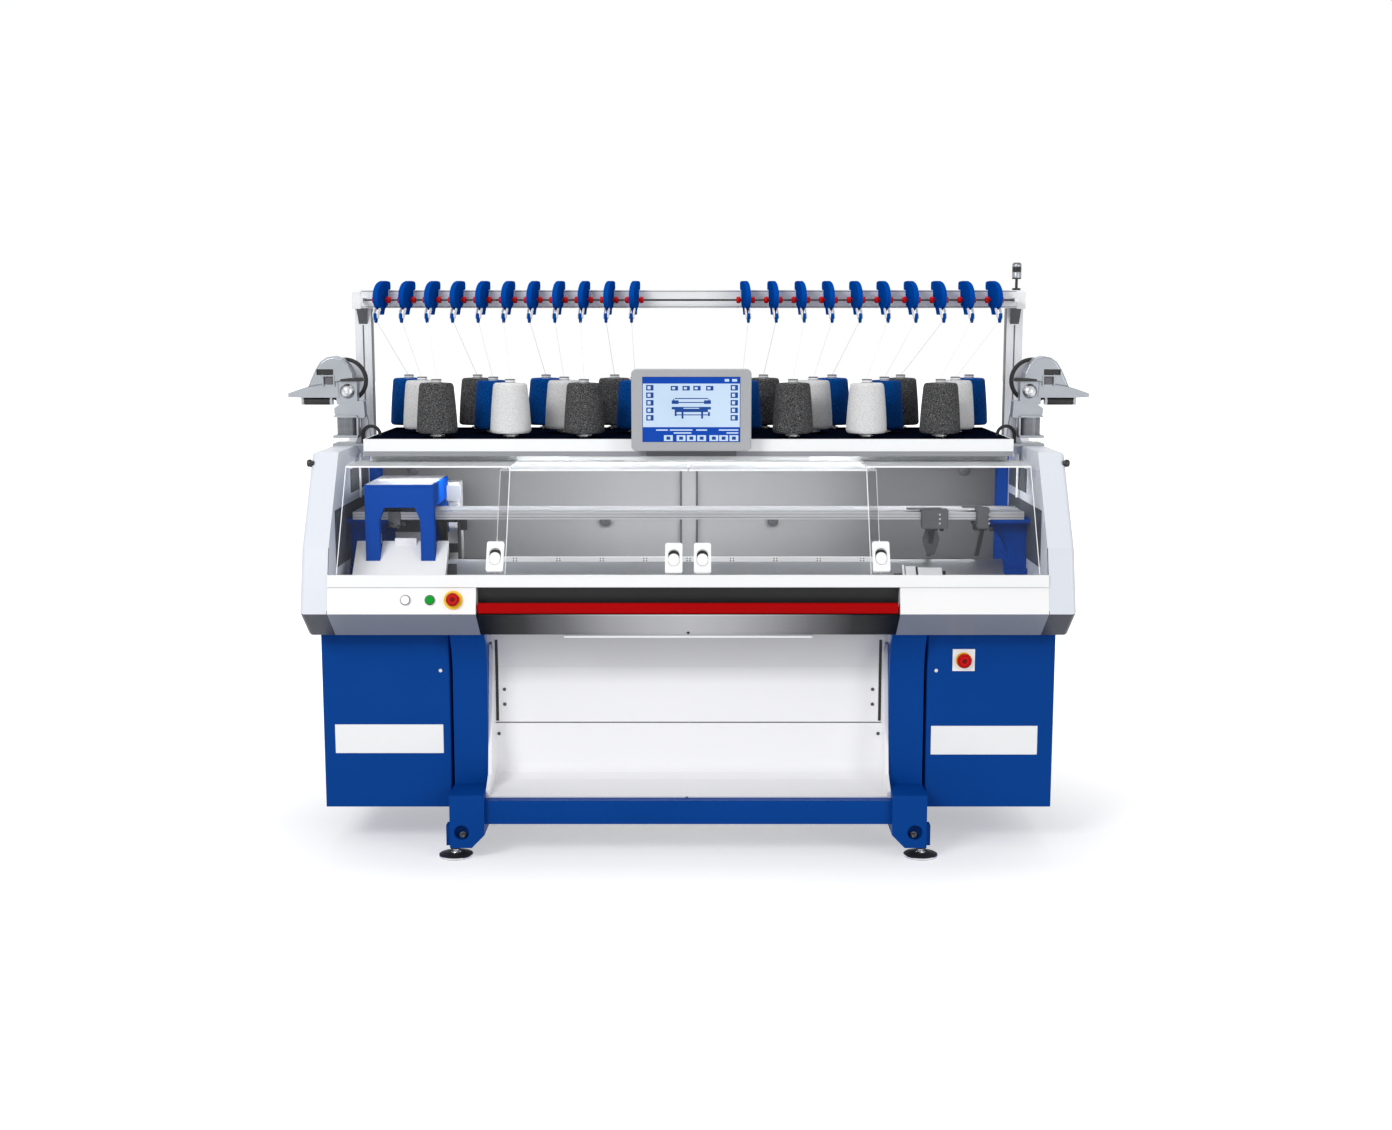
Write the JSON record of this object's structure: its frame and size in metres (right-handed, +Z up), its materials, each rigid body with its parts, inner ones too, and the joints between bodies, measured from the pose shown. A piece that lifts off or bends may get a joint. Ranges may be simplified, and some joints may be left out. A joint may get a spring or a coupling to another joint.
{
  "type": "flat knitting machine",
  "caption": "Industrial flat knitting machine: needle beds behind sliding clear doors, a carriage on yarn rails, a yarn cone table and a raised tensioner rail.",
  "frame": {"origin": "on the floor, midway along and midway through the machine's depth", "axes": "+X along the machine to the viewer's right, +Y to the back, +Z up"},
  "size_m": [2.776, 1.0347, 1.971],
  "materials": {
    "blue_paint": "semi-gloss",
    "white_paint": "semi-gloss",
    "grey_paint": "satin",
    "machined_steel": "satin",
    "cast_iron": "satin",
    "rail_aluminium": "satin",
    "carrier_steel": "satin",
    "foot_rubber": "matte",
    "belt_rubber": "matte",
    "pulley_steel": "satin",
    "door_clear": "clear",
    "latch_white": "semi-gloss",
    "start_red": "semi-gloss",
    "button_white": "gloss",
    "button_green": "gloss",
    "stop_red": "gloss",
    "bezel_chrome": "polished",
    "yarn": "wound",
    "tube_grey": "satin",
    "yarn_end": "matte",
    "tension_blue": "semi-gloss",
    "tension_red": "gloss",
    "tension_arm": "semi-gloss",
    "lamp_plastic": "semi-gloss",
    "screen_grey": "satin",
    "feeder_metal": "satin",
    "wheel_rubber": "satin"
  },
  "bodies": {
    "machine": {"side_stand_left": "blue_paint", "side_stand_right": "blue_paint", "base_frame": "blue_paint", "cabinet_left": "blue_paint", "cabinet_right": "blue_paint", "rail_brackets": "blue_paint", "side_cover_left": "white_paint", "side_cover_right": "white_paint", "front_ledge": "white_paint", "control_housings": "white_paint", "fabric_chute": "white_paint", "cone_table": "white_paint", "uprights": "white_paint", "tension_rail": "white_paint", "lower_apron": "grey_paint", "rod_trough": "grey_paint", "back_panels": "grey_paint", "needle_beds": "machined_steel", "bed_girders": "cast_iron", "feed_rails": "rail_aluminium", "screen_bracket": "rail_aluminium", "levelling_feet": "foot_rubber", "belt_and_leads": "belt_rubber", "button_bezels": "bezel_chrome", "yarn_cones": "yarn", "cone_tubes": "tube_grey", "yarn_ends": "yarn_end", "tensioner_frames": "tension_blue", "tensioner_knobs": "tension_red", "tensioner_arms": "tension_arm", "signal_lamp": "lamp_plastic", "feeder_bodies": "feeder_metal"},
    "carriage": {"carriage_covers": "white_paint", "carriage_bow": "blue_paint", "carriage_cam_plates": "machined_steel"},
    "pulley_left": {"pulley_left": "pulley_steel"},
    "pulley_right": {"pulley_right": "pulley_steel"},
    "yarn_carrier_1": {"yarn_carrier_1": "carrier_steel"},
    "yarn_carrier_2": {"yarn_carrier_2": "carrier_steel"},
    "start_rod": {"start_rod": "start_red"},
    "screen": {"screen_housing": "screen_grey"},
    "start_button": {"start_button": "button_green"},
    "stop_button": {"stop_button": "button_white"},
    "estop_front": {"estop_front": "stop_red"},
    "estop_cabinet": {"estop_cabinet": "stop_red"},
    "feeder_wheel_left": {"feeder_wheel_left": "wheel_rubber"},
    "feeder_wheel_right": {"feeder_wheel_right": "wheel_rubber"},
    "take_down_roller": {"take_down_roller": "machined_steel"},
    "door_left_outer": {"door_left_outer": "door_clear", "latch_plate_left_outer": "latch_white"},
    "latch_left_outer": {"latch_thumb_left_outer": "latch_white"},
    "door_left_inner": {"door_left_inner": "door_clear", "latch_plate_left_inner": "latch_white"},
    "latch_left_inner": {"latch_thumb_left_inner": "latch_white"},
    "door_right_inner": {"door_right_inner": "door_clear", "latch_plate_right_inner": "latch_white"},
    "latch_right_inner": {"latch_thumb_right_inner": "latch_white"},
    "door_right_outer": {"door_right_outer": "door_clear", "latch_plate_right_outer": "latch_white"},
    "latch_right_outer": {"latch_thumb_right_outer": "latch_white"}
  },
  "joints": [
    {"name": "carriage_slide", "type": "slide", "parent": "machine", "child": "carriage", "axis": [1, 0, 0], "range_m": [0, 1.93]},
    {"name": "pulley_left_spin", "type": "hinge", "parent": "machine", "child": "pulley_left", "pos_m": [-1.038, 0.215, 0.885], "axis": [0, 0, 1], "range_deg": [0, 1160]},
    {"name": "pulley_right_spin", "type": "hinge", "parent": "machine", "child": "pulley_right", "pos_m": [1.038, 0.215, 0.885], "axis": [0, 0, 1], "range_deg": [0, 1160]},
    {"name": "yarn_carrier_1_slide", "type": "slide", "parent": "machine", "child": "yarn_carrier_1", "axis": [1, 0, 0], "range_m": [-1.55, 0]},
    {"name": "yarn_carrier_2_slide", "type": "slide", "parent": "machine", "child": "yarn_carrier_2", "axis": [1, 0, 0], "range_m": [-0.07, 0]},
    {"name": "start_rod_turn", "type": "hinge", "parent": "machine", "child": "start_rod", "pos_m": [0, -0.478, 0.85], "axis": [1, 0, 0], "range_deg": [-12, 12]},
    {"name": "screen_tilt", "type": "hinge", "parent": "machine", "child": "screen", "pos_m": [0.01, -0.122, 1.366], "axis": [1, 0, 0], "range_deg": [-15, 10]},
    {"name": "start_button_push", "type": "slide", "parent": "machine", "child": "start_button", "axis": [0, 0.9653, -0.2612], "range_m": [0, 0.004], "stiffness_N_per_m": 250, "springref_m": -0.003},
    {"name": "stop_button_push", "type": "slide", "parent": "machine", "child": "stop_button", "axis": [0, 0.9653, -0.2612], "range_m": [0, 0.004], "stiffness_N_per_m": 250, "springref_m": -0.003},
    {"name": "estop_front_push", "type": "slide", "parent": "machine", "child": "estop_front", "axis": [0, 0.9653, -0.2612], "range_m": [0, 0.005]},
    {"name": "estop_cabinet_push", "type": "slide", "parent": "machine", "child": "estop_cabinet", "axis": [0, 1, 0], "range_m": [0, 0.005]},
    {"name": "feeder_wheel_left_spin", "type": "hinge", "parent": "machine", "child": "feeder_wheel_left", "pos_m": [-1.2, 0.093, 1.56], "axis": [0, 1, 0], "continuous": true},
    {"name": "feeder_wheel_right_spin", "type": "hinge", "parent": "machine", "child": "feeder_wheel_right", "pos_m": [1.2, 0.093, 1.56], "axis": [0, 1, 0], "continuous": true},
    {"name": "take_down_roller_spin", "type": "hinge", "parent": "machine", "child": "take_down_roller", "pos_m": [0, -0.055, 0.56], "axis": [1, 0, 0], "continuous": true},
    {"name": "door_left_outer_slide", "type": "slide", "parent": "machine", "child": "door_left_outer", "axis": [1, 0, 0], "range_m": [0, 0.5]},
    {"name": "latch_left_outer_slide", "type": "slide", "parent": "door_left_outer", "child": "latch_left_outer", "axis": [0, 0.5165, 0.8563], "range_m": [0, 0.015], "stiffness_N_per_m": 120, "springref_m": -0.008},
    {"name": "door_left_inner_slide", "type": "slide", "parent": "machine", "child": "door_left_inner", "axis": [1, 0, 0], "range_m": [-0.5, 0]},
    {"name": "latch_left_inner_slide", "type": "slide", "parent": "door_left_inner", "child": "latch_left_inner", "axis": [0, 0.5165, 0.8563], "range_m": [0, 0.015], "stiffness_N_per_m": 120, "springref_m": -0.008},
    {"name": "door_right_inner_slide", "type": "slide", "parent": "machine", "child": "door_right_inner", "axis": [1, 0, 0], "range_m": [0, 0.5]},
    {"name": "latch_right_inner_slide", "type": "slide", "parent": "door_right_inner", "child": "latch_right_inner", "axis": [0, 0.5165, 0.8563], "range_m": [0, 0.015], "stiffness_N_per_m": 120, "springref_m": -0.008},
    {"name": "door_right_outer_slide", "type": "slide", "parent": "machine", "child": "door_right_outer", "axis": [1, 0, 0], "range_m": [-0.5, 0]},
    {"name": "latch_right_outer_slide", "type": "slide", "parent": "door_right_outer", "child": "latch_right_outer", "axis": [0, 0.5165, 0.8563], "range_m": [0, 0.015], "stiffness_N_per_m": 120, "springref_m": -0.008}
  ],
  "couplings": [
    {"joint": "pulley_left_spin", "follows": "carriage_slide", "rad_per_m": 10.417},
    {"joint": "pulley_right_spin", "follows": "carriage_slide", "rad_per_m": 10.417}
  ]
}
